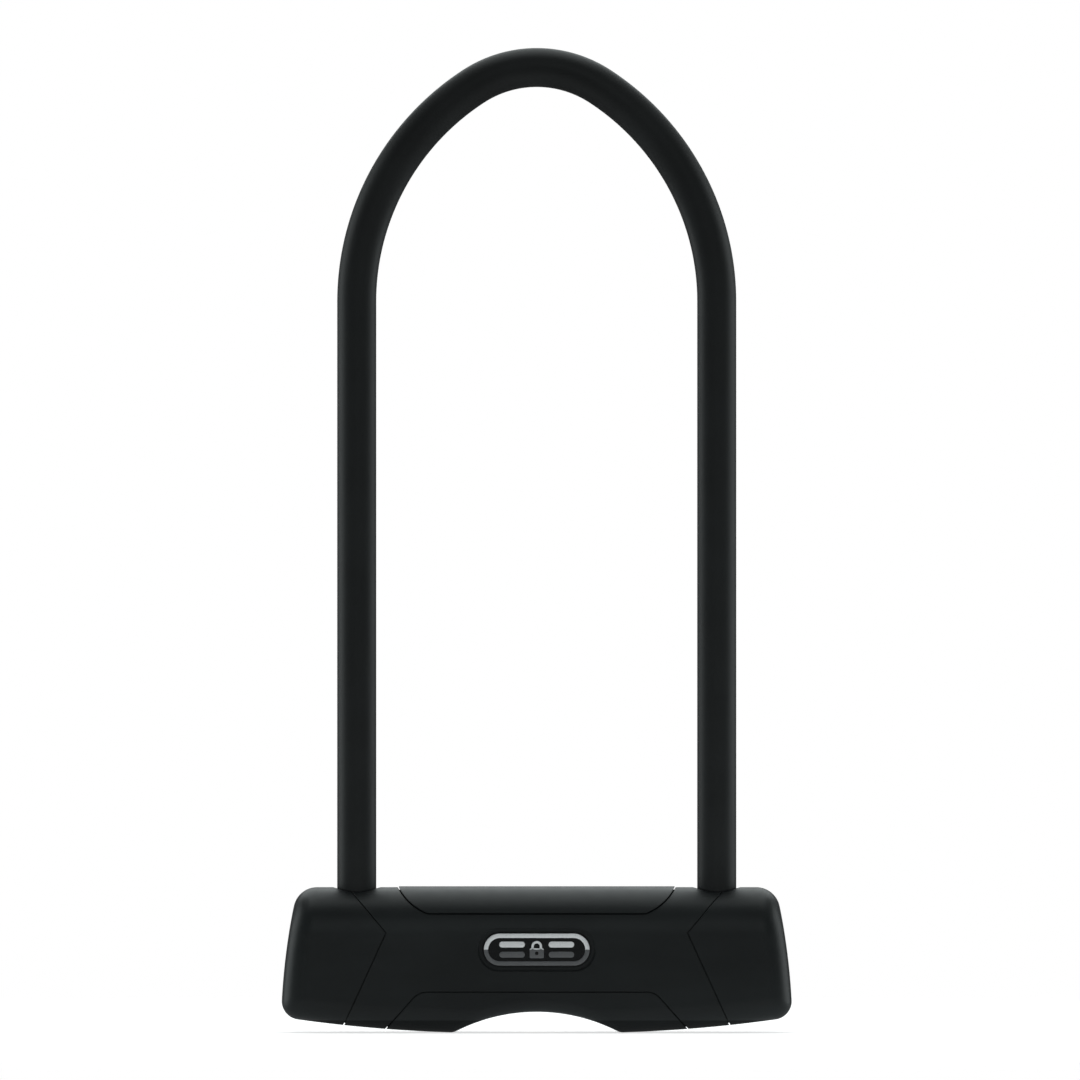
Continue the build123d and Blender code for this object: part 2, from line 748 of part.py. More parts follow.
with BuildPart() as side_bar:
    with BuildSketch(Plane.XY.offset(disc_z + fit_gap)):
        with Locations((0, side_bar_inner + side_bar_depth / 2)):
            Rectangle(side_bar_width, side_bar_depth)
    extrude(amount=tail_z - disc_z - 2 * fit_gap)
    outer_edges = side_bar.faces().sort_by(Axis.Y)[-1].edges().filter_by(Axis.Z)
    chamfer(outer_edges, side_bar_chamfer)
keep(side_bar.part, "side_bar")

with BuildPart() as core_tail:
    with BuildSketch(Plane.XY.offset(tail_z)):
        Circle(core_bore_radius)
    extrude(amount=tail_flange)
    with BuildSketch(Plane.XY.offset(core_top - tail_dog_height)):
        Rectangle(2 * core_radius - core_running_gap, tail_dog_width)
        Circle(core_radius - core_running_gap, mode=Mode.INTERSECT)
    extrude(amount=tail_dog_height)
    with BuildSketch(Plane.XY.offset(core_top)):
        Circle(tail_shaft_radius)
    extrude(amount=cam_z - core_top)
    with BuildSketch(Plane.XY.offset(cam_z)):
        RectangleRounded(tail_square, tail_square, tail_corner)
    extrude(amount=cam_thickness)
keep(core_tail.part, "core_tail")

with BuildPart() as core_clip:
    with BuildSketch(Plane.XY.offset(clip_z)):
        Circle(core_radius + clip_groove_depth)
        Circle(clip_inner_radius, mode=Mode.SUBTRACT)
        with Locations((-core_radius, 0)):
            Rectangle(core_radius, clip_gap, mode=Mode.SUBTRACT)
    extrude(amount=clip_thickness)
keep(core_clip.part, "core_clip")

# ---------------------------------------------------------------- cam and bolts


def scroll_slot(start_angle):
    """Slot whose middle moves outward evenly with angle, by the bolts' throw over the key's turn."""
    reach = bolt_pin_radius + cam_slot_play
    turns = [radians(key_turn) * step / scroll_steps for step in range(scroll_steps + 1)]
    radii = [bolt_pin_home + bolt_throw * step / scroll_steps for step in range(scroll_steps + 1)]
    spots = [
        Vector(radius, 0).rotate(Axis.Z, start_angle - degrees(turn))
        for radius, turn in zip(radii, turns)
    ]
    with BuildSketch(Plane.XY.offset(cam_z)) as slot:
        with BuildLine():
            middle = Spline(*spots)
        trace(middle, 2 * reach)
        with Locations(spots[0], spots[-1]):
            Circle(reach)
    return slot.sketch


with BuildPart() as drive_cam:
    with BuildSketch(Plane.XY.offset(cam_z)):
        Circle(cam_radius)
        Rectangle(tail_square + fit_gap, tail_square + fit_gap, mode=Mode.SUBTRACT)
    extrude(amount=cam_thickness)
    for start in (180, 0):
        extrude(scroll_slot(start), amount=cam_thickness, mode=Mode.SUBTRACT)
keep(drive_cam.part, "drive_cam")

for name, side in SIDES:
    pin_x = side * bolt_pin_home
    with BuildPart() as bolt:
        with BuildSketch(Plane.XY.offset(bolt_z)):
            with Locations((side * (bolt_tip + bolt_gap_at_centre) / 2, 0)):
                Rectangle(bolt_tip - bolt_gap_at_centre, bolt_width)
        extrude(amount=bolt_thickness)
        tip = bolt.faces().sort_by(Axis.X)[0 if side < 0 else -1]
        chamfer(tip.edges(), bolt_nose_chamfer)
        with BuildSketch(Plane.XY.offset(bolt_z)):
            with Locations((pin_x, 0)):
                Circle(bolt_pin_radius)
        extrude(amount=bolt_pin_bite, mode=Mode.SUBTRACT)
    keep(bolt.part, f"{name}_bolt")

    with BuildPart() as bolt_pin:
        with BuildSketch(Plane.XY.offset(cam_z + cam_slot_play)):
            with Locations((pin_x, 0)):
                Circle(bolt_pin_radius)
        extrude(amount=bolt_z + bolt_pin_bite - cam_z - cam_slot_play)
    keep(bolt_pin.part, f"{name}_bolt_pin")

print("nodes written:", len([file for file in os.listdir("parts") if file.endswith(".step")]))
print("leg axis", round(leg_x, 2), "haunch radius", round(haunch_radius, 2), "turn", round(haunch_turn, 2))
print("cylinder", round(nose_z, 2), round(housing_top, 2), "bolts", round(bolt_z, 2), round(bolt_top, 2))
print("scroll rise, mm per radian", round(bolt_throw / (key_turn * pi / 180), 4))
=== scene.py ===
"""Looks of a U lock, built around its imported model.

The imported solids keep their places. This script gives each of them a finish, builds the leg coat and the
badge's raised trim as finer meshes, and sets up the floor, the lights and the camera.
All lengths are in metres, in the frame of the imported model: Z up the legs, -Y towards the badge.
"""

import json
import logging
import math
from collections.abc import Iterable, Sequence
from dataclasses import dataclass
from enum import Enum
from typing import Any

import bmesh
import bpy
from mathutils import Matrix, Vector


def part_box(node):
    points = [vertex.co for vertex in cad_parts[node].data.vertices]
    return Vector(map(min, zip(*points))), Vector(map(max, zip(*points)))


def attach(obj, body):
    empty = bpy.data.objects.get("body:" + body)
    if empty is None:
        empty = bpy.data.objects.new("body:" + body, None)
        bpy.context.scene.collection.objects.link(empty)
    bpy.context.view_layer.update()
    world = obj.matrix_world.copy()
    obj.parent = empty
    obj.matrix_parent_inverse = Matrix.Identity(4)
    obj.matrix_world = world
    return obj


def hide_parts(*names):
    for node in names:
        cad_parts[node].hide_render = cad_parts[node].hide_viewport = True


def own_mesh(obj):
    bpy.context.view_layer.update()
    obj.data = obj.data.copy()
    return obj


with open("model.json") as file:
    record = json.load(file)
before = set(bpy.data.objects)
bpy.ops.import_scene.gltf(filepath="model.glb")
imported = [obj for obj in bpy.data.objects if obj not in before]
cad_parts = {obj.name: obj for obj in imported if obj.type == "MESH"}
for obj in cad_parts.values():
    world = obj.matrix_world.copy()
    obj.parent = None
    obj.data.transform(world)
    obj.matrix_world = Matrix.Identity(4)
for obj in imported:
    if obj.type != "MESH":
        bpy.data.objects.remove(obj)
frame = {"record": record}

Colour = tuple[float, float, float]
Point = tuple[float, float, float]

MM = 0.001
TINY = 1e-9
WHITE = (1.0, 1.0, 1.0)
NOISE_MIDDLE = 0.5
NOISE_SPREAD = (0.3, 0.7)  # most of a noise lies between these
EDGE_SAMPLES = 6
LOG = logging.getLogger("u_lock")

# ------------------------------------------------------------------ shader expressions


class Signal:
    """A number or vector carried by a node's output, used in expressions that add their own maths nodes."""

    def __init__(self, owner: "NodeTree", socket: bpy.types.NodeSocket) -> None:
        """Wraps an output socket.

        Args:
            owner: The tree that the socket's node belongs to.
            socket: The output that carries the value.
        """
        self.owner = owner
        self.socket = socket

    def maths(self, operation: str, *values: Any) -> "Signal":
        """Adds one Math node.

        Args:
            operation: The node's operation, such as "ADD".
            values: Its inputs, in order, as numbers or signals.

        Returns:
            The node's result.
        """
        inputs = dict(enumerate(values))
        return self.owner.node("ShaderNodeMath", {"operation": operation}, inputs)

    def __add__(self, other: Any) -> "Signal":
        """Returns self + other."""
        return self.maths("ADD", self, other)

    def __sub__(self, other: Any) -> "Signal":
        """Returns self - other."""
        return self.maths("SUBTRACT", self, other)

    def __rsub__(self, other: Any) -> "Signal":
        """Returns other - self."""
        return self.maths("SUBTRACT", other, self)

    def __mul__(self, other: Any) -> "Signal":
        """Returns self * other."""
        return self.maths("MULTIPLY", self, other)

    __radd__ = __add__
    __rmul__ = __mul__

    def sine(self) -> "Signal":
        """Returns the sine of the value, in radians."""
        return self.maths("SINE", self)

    def swing(self, amount: float) -> "Signal":
        """Returns a noise centred on zero, times an amount."""
        return (self - NOISE_MIDDLE) * amount

    def between(self, low: float, high: float) -> "Signal":
        """Ramps smoothly from 0 at low to 1 at high.

        Args:
            low: The value that gives 0.
            high: The value that gives 1.

        Returns:
            The ramped value.
        """
        settings = {"interpolation_type": "SMOOTHSTEP"}
        inputs = {"Value": self, "From Min": low, "From Max": high}
        return self.owner.node("ShaderNodeMapRange", settings, inputs)


class NodeTree:
    """The node tree of a material or a world, emptied and then filled by one method."""

    def __init__(self, owner: bpy.types.Material | bpy.types.World) -> None:
        """Empties the owner's tree.

        Args:
            owner: The material or world.
        """
        owner.use_nodes = True
        self.tree = owner.node_tree
        self.tree.nodes.clear()

    def feed(self, socket: bpy.types.NodeSocket, value: Any) -> None:
        """Links a signal to an input, or sets the input's own value.

        Args:
            socket: The input.
            value: A signal, a number, a colour or a vector.
        """
        if isinstance(value, Signal):
            self.tree.links.new(value.socket, socket)
        elif socket.type == "RGBA":
            socket.default_value = (*value[:3], 1.0)
        else:
            socket.default_value = value

    def add(
        self,
        kind: str,
        settings: dict[str, Any] | None = None,
        inputs: dict[int | str, Any] | None = None,
    ) -> bpy.types.Node:
        """Adds one node.

        Args:
            kind: The node's type.
            settings: Its properties, set before its inputs.
            inputs: Values or signals for its inputs, by name or place.

        Returns:
            The node.
        """
        made = self.tree.nodes.new(kind)
        for key, value in (settings or {}).items():
            setattr(made, key, value)
        for key, value in (inputs or {}).items():
            self.feed(made.inputs[key], value)
        return made

    def node(
        self,
        kind: str,
        settings: dict[str, Any] | None = None,
        inputs: dict[int | str, Any] | None = None,
        output: int | str = 0,
    ) -> Signal:
        """Adds one node and picks one of its outputs.

        Args:
            kind: The node's type.
            settings: Its properties, set before its inputs.
            inputs: Values or signals for its inputs, by name or place.
            output: Which output is wanted, by name or place.

        Returns:
            The wanted output.
        """
        return Signal(self, self.add(kind, settings, inputs).outputs[output])


class Shader(NodeTree):
    """A material's node tree round one Principled BSDF."""

    def __init__(self, name: str) -> None:
        """Starts a material that has only its surface and output.

        Args:
            name: The material's name.
        """
        self.material = bpy.data.materials.new(name)
        super().__init__(self.material)
        self.surface = self.add("ShaderNodeBsdfPrincipled")
        shown = Signal(self, self.surface.outputs[0])
        self.add("ShaderNodeOutputMaterial", inputs={"Surface": shown})

    def place(self) -> Signal:
        """Returns the point on the piece, in its own unmoved coordinates."""
        return self.node("ShaderNodeTexCoord", output="Object")

    def along(self, axis: "Axis") -> Signal:
        """Returns one coordinate of the point on the piece."""
        return self.node("ShaderNodeSeparateXYZ", inputs={0: self.place()}, output=axis.value)

    def noise(self, size: float, detail: float = 3.0, stretch: Point = (1.0, 1.0, 1.0)) -> Signal:
        """Even random variation over the piece.

        Args:
            size: Distance between its lumps.
            detail: How many finer layers it has.
            stretch: How much longer the lumps are along each axis.

        Returns:
            The noise, mostly between 0.3 and 0.7.
        """
        squeeze = tuple(1.0 / (size * s) for s in stretch)
        spot = self.node("ShaderNodeVectorMath", {"operation": "MULTIPLY"}, {0: self.place(), 1: squeeze})
        return self.node("ShaderNodeTexNoise", inputs={"Vector": spot, "Scale": 1.0, "Detail": detail})

    def cells(self, size: float) -> Signal:
        """Distance to the nearest of many scattered points.

        Args:
            size: Distance between the points.

        Returns:
            The distance, from 0 to about 1.
        """
        inputs = {"Vector": self.place(), "Scale": 1.0 / size}
        return self.node("ShaderNodeTexVoronoi", inputs=inputs, output="Distance")

    def radius(self, axis: "Axis", centre: Point) -> Signal:
        """Distance from a line through centre along an axis.

        Args:
            axis: The line's direction.
            centre: A point on the line.

        Returns:
            The distance.
        """
        flatten = tuple(0.0 if i == axis.value else 1.0 for i in range(3))
        offset = self.node("ShaderNodeVectorMath", {"operation": "SUBTRACT"}, {0: self.place(), 1: centre})
        flat = self.node("ShaderNodeVectorMath", {"operation": "MULTIPLY"}, {0: offset, 1: flatten})
        return self.node("ShaderNodeVectorMath", {"operation": "LENGTH"}, {0: flat}, output="Value")

    def blend(self, amount: Signal, first: Colour, second: Colour) -> Signal:
        """Mixes two colours.

        Args:
            amount: 0 for the first, 1 for the second.
            first: A colour.
            second: A colour.

        Returns:
            The mixed colour.
        """
        inputs = {0: amount, 6: first, 7: second}
        return self.node("ShaderNodeMix", {"data_type": "RGBA"}, inputs, output=2)

    def shades(self, amount: Signal, colour: Colour, dark: float, light: float) -> Signal:
        """Varies a colour from a darker to a lighter shade of itself.

        Args:
            amount: 0 for the darker shade, 1 for the lighter.
            colour: The colour.
            dark: What the colour is multiplied by in the darker shade.
            light: And in the lighter.

        Returns:
            The shaded colour.
        """
        return self.blend(amount, scaled(colour, dark), scaled(colour, light))

    def rounded(self, radius: float) -> Signal:
        """Returns the surface direction with sharp edges eased over a radius."""
        return self.node("ShaderNodeBevel", {"samples": EDGE_SAMPLES}, {"Radius": radius})

    def relief(self, height: Signal, depth: float, strength: float, normal: Signal | None = None) -> Signal:
        """Bumps the surface by a height.

        Args:
            height: The height, from 0 to 1.
            depth: What a height of 1 stands for.
            strength: How strongly it shows.
            normal: The direction to start from, if it isn't the mesh's own.

        Returns:
            The bumped direction.
        """
        inputs: dict[int | str, Any] = {"Height": height, "Distance": depth, "Strength": strength}
        if normal is not None:
            inputs["Normal"] = normal
        return self.node("ShaderNodeBump", inputs=inputs)

    def finish(self, **values: Any) -> bpy.types.Material:
        """Sets the surface's inputs.

        Args:
            values: A value or signal for each, with underscores for the spaces in its name.

        Returns:
            The finished material.
        """
        for key, value in values.items():
            self.feed(self.surface.inputs[key.replace("_", " ")], value)
        return self.material


class Axis(Enum):
    """An axis of the frame, by its place in a point."""

    X = 0
    Y = 1
    Z = 2


def scaled(colour: Colour, factor: float) -> Colour:
    """Makes a colour lighter or darker.

    Args:
        colour: The colour.
        factor: Above 1 to lighten it.

    Returns:
        The new colour.
    """
    return (colour[0] * factor, colour[1] * factor, colour[2] * factor)


# ------------------------------------------------------------------ finishes


@dataclass(frozen=True)
class MouldedPlastic:
    """Black plastic from a fine-grained mould, with faint flow marks."""

    name: str
    colour: Colour
    dark: float = 0.85
    light: float = 1.2
    roughness: float = 0.4
    haze_swing: float = 0.12
    grain_swing: float = 0.08
    specular: float = 0.3
    grain: float = 0.45 * MM
    grain_depth: float = 0.02 * MM
    grain_share: float = 0.6
    grain_strength: float = 0.35
    pit_to_grain: float = 0.8
    flow_length: float = 26 * MM
    flow_stretch: Point = (2.2, 1.0, 0.7)
    haze_per_flow: float = 6
    edge: float = 0.25 * MM

    def build(self) -> bpy.types.Material:
        """Makes the material.

        Returns:
            The material.
        """
        shader = Shader(self.name)
        grain = shader.noise(self.grain)
        pits = shader.cells(self.grain * self.pit_to_grain)
        flow = shader.noise(self.flow_length, detail=4, stretch=self.flow_stretch)
        haze = shader.noise(self.flow_length / self.haze_per_flow, detail=5)
        height = grain * self.grain_share + pits * (1 - self.grain_share)
        normal = shader.rounded(self.edge)
        return shader.finish(
            Base_Color=shader.shades(flow.between(*NOISE_SPREAD), self.colour, self.dark, self.light),
            Roughness=self.roughness + haze.swing(self.haze_swing) + grain.swing(self.grain_swing),
            Specular_IOR_Level=self.specular,
            Normal=shader.relief(height, self.grain_depth, self.grain_strength, normal),
        )


@dataclass(frozen=True)
class DippedCoat:
    """Soft black plastic dipped over the bar: nearly smooth, with a shallow orange peel and fine scuffs."""

    name: str
    colour: Colour
    dark: float = 0.88
    light: float = 1.15
    roughness: float = 0.5
    cloud_swing: float = 0.1
    scuff_roughness: float = 0.06
    specular: float = 0.32
    cloud: float = 24 * MM
    peel: float = 2.4 * MM
    peel_stretch: Point = (1.0, 1.0, 1.6)
    peel_depth: float = 0.03 * MM
    peel_strength: float = 0.3
    scuff: float = 0.5 * MM
    scuff_stretch: Point = (1.0, 1.0, 18.0)
    scuff_band: tuple[float, float] = (0.58, 0.74)
    shares: tuple[float, float, float] = (0.8, 0.12, 0.08)

    def build(self) -> bpy.types.Material:
        """Makes the material.

        Returns:
            The material.
        """
        shader = Shader(self.name)
        peel = shader.noise(self.peel, detail=2, stretch=self.peel_stretch)
        grit = shader.noise(self.scuff, detail=4)
        scuffs = shader.noise(self.scuff, detail=5, stretch=self.scuff_stretch).between(*self.scuff_band)
        cloud = shader.noise(self.cloud)
        peel_share, grit_share, scuff_share = self.shares
        height = peel * peel_share + grit * grit_share + scuffs * scuff_share
        return shader.finish(
            Base_Color=shader.shades(cloud.between(*NOISE_SPREAD), self.colour, self.dark, self.light),
            Roughness=self.roughness + cloud.swing(self.cloud_swing) + scuffs * self.scuff_roughness,
            Specular_IOR_Level=self.specular,
            Normal=shader.relief(height, self.peel_depth, self.peel_strength),
        )


@dataclass(frozen=True)
class DrawnSteel:
    """Steel with fine lines along one axis, and a few darker stains."""

    name: str
    colour: Colour
    lay: Axis
    dark: float = 0.72
    light: float = 1.12
    roughness: float = 0.3
    line_swing: float = 0.22
    stain_swing: float = 0.16
    line: float = 0.12 * MM
    line_depth: float = 0.01 * MM
    line_strength: float = 0.3
    run: float = 60.0
    stain: float = 9 * MM
    edge: float = 0.15 * MM

    def build(self) -> bpy.types.Material:
        """Makes the material.

        Returns:
            The material.
        """
        shader = Shader(self.name)
        stretch = tuple(self.run if i == self.lay.value else 1.0 for i in range(3))
        lines = shader.noise(self.line, stretch=stretch)
        stain = shader.noise(self.stain, detail=5)
        tone = lines * 0.5 + stain * 0.5
        normal = shader.rounded(self.edge)
        return shader.finish(
            Base_Color=shader.shades(tone.between(*NOISE_SPREAD), self.colour, self.dark, self.light),
            Metallic=1.0,
            Roughness=self.roughness + lines.swing(self.line_swing) + stain.swing(self.stain_swing),
            Normal=shader.relief(lines, self.line_depth, self.line_strength, normal),
        )


@dataclass(frozen=True)
class TurnedMetal:
    """Metal faced on a lathe: fine rings about the cylinder's axis, slightly tarnished."""

    name: str
    colour: Colour
    tarnish: Colour
    roughness: float = 0.27
    mark_roughness: float = 0.08
    stain_swing: float = 0.2
    stain: float = 3.5 * MM
    stain_band: tuple[float, float] = (0.42, 0.72)
    ring: float = 0.14 * MM
    ring_depth: float = 0.006 * MM
    ring_strength: float = 0.25
    wander: float = 0.9 * MM
    ring_wander: float = 3.0
    feed_wander: float = 2.0
    axis: Axis = Axis.Z
    centre: Point = (0.0, 0.0, 0.0)
    edge: float = 0.12 * MM

    def build(self) -> bpy.types.Material:
        """Makes the material.

        Returns:
            The material.
        """
        shader = Shader(self.name)
        turn = 2 * math.pi / self.ring
        wander = shader.noise(self.wander, detail=2)
        across = shader.radius(self.axis, self.centre) * turn + wander * self.ring_wander
        along = shader.along(self.axis) * turn + wander * self.feed_wander
        rings = across.sine() * 0.5 + 0.5
        feed_marks = along.sine() * 0.5 + 0.5
        marks = rings * 0.5 + feed_marks * 0.5
        stain = shader.noise(self.stain, detail=5)
        normal = shader.rounded(self.edge)
        return shader.finish(
            Base_Color=shader.blend(stain.between(*self.stain_band), self.colour, self.tarnish),
            Metallic=1.0,
            Roughness=self.roughness + marks * self.mark_roughness + stain.swing(self.stain_swing),
            Normal=shader.relief(marks, self.ring_depth, self.ring_strength, normal),
        )


@dataclass(frozen=True)
class CastAlloy:
    """Light alloy as it comes from the die: a pebbled skin with darker hollows."""

    name: str
    colour: Colour
    dark: float = 0.7
    light: float = 1.05
    tone_band: tuple[float, float] = (0.3, 0.65)
    roughness: float = 0.5
    cold_swing: float = 0.2
    skin_swing: float = 0.1
    pebble: float = 0.8 * MM
    pebble_depth: float = 0.04 * MM
    pebble_strength: float = 0.4
    cold: float = 7 * MM
    cold_stretch: Point = (2.0, 1.0, 1.0)
    edge: float = 0.3 * MM

    def build(self) -> bpy.types.Material:
        """Makes the material.

        Returns:
            The material.
        """
        shader = Shader(self.name)
        pebbles = shader.cells(self.pebble)
        skin = shader.noise(self.pebble / 2, detail=5)
        cold = shader.noise(self.cold, detail=4, stretch=self.cold_stretch)
        height = pebbles * 0.5 + skin * 0.5
        tone = height * 0.5 + cold * 0.5
        normal = shader.rounded(self.edge)
        return shader.finish(
            Base_Color=shader.shades(tone.between(*self.tone_band), self.colour, self.dark, self.light),
            Metallic=1.0,
            Roughness=self.roughness + cold.swing(self.cold_swing) + skin.swing(self.skin_swing),
            Normal=shader.relief(height, self.pebble_depth, self.pebble_strength, normal),
        )


@dataclass(frozen=True)
class SealRubber:
    """Matt black rubber with a dusty bloom."""

    name: str
    colour: Colour
    dusty: float = 1.9
    roughness: float = 0.75
    bloom_swing: float = 0.2
    bloom: float = 2.5 * MM
    bloom_band: tuple[float, float] = (0.4, 0.75)
    grain: float = 0.2 * MM
    grain_depth: float = 0.02 * MM
    grain_strength: float = 0.3
    edge: float = 0.2 * MM

    def build(self) -> bpy.types.Material:
        """Makes the material.

        Returns:
            The material.
        """
        shader = Shader(self.name)
        grain = shader.noise(self.grain, detail=4)
        bloom = shader.noise(self.bloom, detail=4)
        normal = shader.rounded(self.edge)
        return shader.finish(
            Base_Color=shader.shades(bloom.between(*self.bloom_band), self.colour, 1.0, self.dusty),
            Roughness=self.roughness + bloom.swing(self.bloom_swing),
            Normal=shader.relief(grain, self.grain_depth, self.grain_strength, normal),
        )


@dataclass(frozen=True)
class LacquerField:
    """Black lacquer under a clear coat, with a little dust in it."""

    name: str
    colour: Colour
    dusty: float = 4.0
    roughness: float = 0.22
    dust_roughness: float = 0.3
    ripple_swing: float = 0.06
    specular: float = 0.3
    coat: float = 0.4
    coat_lost_to_dust: float = 0.3
    coat_roughness: float = 0.08
    dust: float = 0.16 * MM
    dust_band: tuple[float, float] = (0.66, 0.76)
    ripple: float = 3 * MM
    ripple_depth: float = 0.02 * MM
    ripple_strength: float = 0.2
    edge: float = 0.15 * MM

    def build(self) -> bpy.types.Material:
        """Makes the material.

        Returns:
            The material.
        """
        shader = Shader(self.name)
        dust = shader.noise(self.dust).between(*self.dust_band)
        ripple = shader.noise(self.ripple, detail=2)
        normal = shader.rounded(self.edge)
        return shader.finish(
            Base_Color=shader.shades(dust, self.colour, 1.0, self.dusty),
            Roughness=self.roughness + dust * self.dust_roughness + ripple.swing(self.ripple_swing),
            Specular_IOR_Level=self.specular,
            Coat_Weight=self.coat - dust * self.coat_lost_to_dust,
            Coat_Roughness=self.coat_roughness,
            Normal=shader.relief(ripple, self.ripple_depth, self.ripple_strength, normal),
        )


@dataclass(frozen=True)
class SilverWithPaintedReflection:
    """Silver trim with a fine brushed face, whose colour holds a painted reflection: bright above a level
    line and slate grey below it.
    """

    name: str
    bright: Colour
    slate: Colour
    # level where the painted reflection turns from slate grey to bright
    reflection_level: float
    softness: float = 0.05 * MM
    bright_dark: float = 0.93
    slate_dark: float = 0.85
    metallic: float = 0.35
    metallic_swing: float = 0.2
    roughness: float = 0.3
    line_swing: float = 0.15
    spot_swing: float = 0.1
    line: float = 0.05 * MM
    line_stretch: Point = (40.0, 1.0, 1.0)
    line_depth: float = 0.004 * MM
    line_strength: float = 0.2
    spot: float = 0.7 * MM

    def build(self) -> bpy.types.Material:
        """Makes the material.

        Returns:
            The material.
        """
        shader = Shader(self.name)
        level = shader.along(Axis.Z)
        above = level.between(self.reflection_level - self.softness, self.reflection_level + self.softness)
        lines = shader.noise(self.line, stretch=self.line_stretch)
        spots = shader.noise(self.spot, detail=4)
        bright = shader.shades(lines.between(*NOISE_SPREAD), self.bright, self.bright_dark, 1.0)
        slate = shader.shades(lines.between(*NOISE_SPREAD), self.slate, self.slate_dark, 1.0)
        return shader.finish(
            # painted reflection: bright silver above the level line, slate grey below it
            Base_Color=shader.blend(above, slate, bright),
            Metallic=self.metallic + spots.swing(self.metallic_swing),
            Roughness=self.roughness + lines.swing(self.line_swing) + spots.swing(self.spot_swing),
            Normal=shader.relief(lines, self.line_depth, self.line_strength),
        )


# ------------------------------------------------------------------ mesh building


class MeshBuilder:
    """Collects rings of points and skins them into one closed mesh."""

    def __init__(self) -> None:
        """Starts an empty mesh."""
        self.mesh = bmesh.new()

    def ring(self, points: Iterable[Point]) -> list[bmesh.types.BMVert]:
        """Adds a loop of points.

        Args:
            points: The points, in order.

        Returns:
            Their vertices.
        """
        return [self.mesh.verts.new(p) for p in points]

    def skin(self, rings: Sequence[Sequence[bmesh.types.BMVert]], closed: bool = False) -> None:
        """Joins rings of equal length by quads.

        Args:
            rings: The rings, in order.
            closed: Whether the last ring joins the first.
        """
        pairs = list(zip(rings, rings[1:]))
        if closed:
            pairs.append((rings[-1], rings[0]))
        for near, far in pairs:
            count = len(near)
            for i in range(count):
                j = (i + 1) % count
                self.mesh.faces.new((near[i], near[j], far[j], far[i]))

    def cap(self, ring: Sequence[bmesh.types.BMVert]) -> None:
        """Closes a ring with one face.

        Args:
            ring: The ring's vertices.
        """
        self.mesh.faces.new(ring)

    def finish(self, name: str, smooth_angle: float = 50.0) -> bpy.types.Object:
        """Turns the mesh into an object.

        Args:
            name: The object's name.
            smooth_angle: Edges sharper than this, in degrees, stay sharp.

        Returns:
            The object, linked to the scene.
        """
        bmesh.ops.recalc_face_normals(self.mesh, faces=self.mesh.faces)
        data = bpy.data.meshes.new(name)
        limit = math.radians(smooth_angle)
        for face in self.mesh.faces:
            face.smooth = True
        for edge in self.mesh.edges:
            edge.smooth = not edge.is_manifold or edge.calc_face_angle(0.0) < limit
        self.mesh.to_mesh(data)
        self.mesh.free()
        made = bpy.data.objects.new(name, data)
        bpy.context.scene.collection.objects.link(made)
        return made


def dress(target: bpy.types.Object, material: bpy.types.Material) -> None:
    """Gives every slot of an object one material.

    Args:
        target: The object.
        material: The material.
    """
    if not target.data.materials:
        target.data.materials.append(material)
    for i in range(len(target.data.materials)):
        target.data.materials[i] = material


def dress_nodes(nodes: Iterable[str], material: bpy.types.Material) -> None:
    """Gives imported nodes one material, and reports each.

    Args:
        nodes: The nodes' names.
        material: The material.
    """
    for node in nodes:
        dress(bpy.data.objects[node], material)
        LOG.info("%s: %s", node, material.name)


def stand_in(piece: bpy.types.Object, node: str, body: str) -> None:
    """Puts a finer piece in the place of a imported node.

    Args:
        piece: The finer piece.
        node: The node it stands for.
        body: The body it moves with.
    """
    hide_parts(node)
    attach(piece, body)
    LOG.info("%s stands for %s", piece.name, node)


def size_of(node: str) -> tuple[Vector, Vector, Vector]:
    """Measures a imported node.

    Args:
        node: The node's name.

    Returns:
        Its lowest corner, its highest corner and its middle.
    """
    low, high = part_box(node)
    return low, high, (low + high) / 2


# ------------------------------------------------------------------ shackle


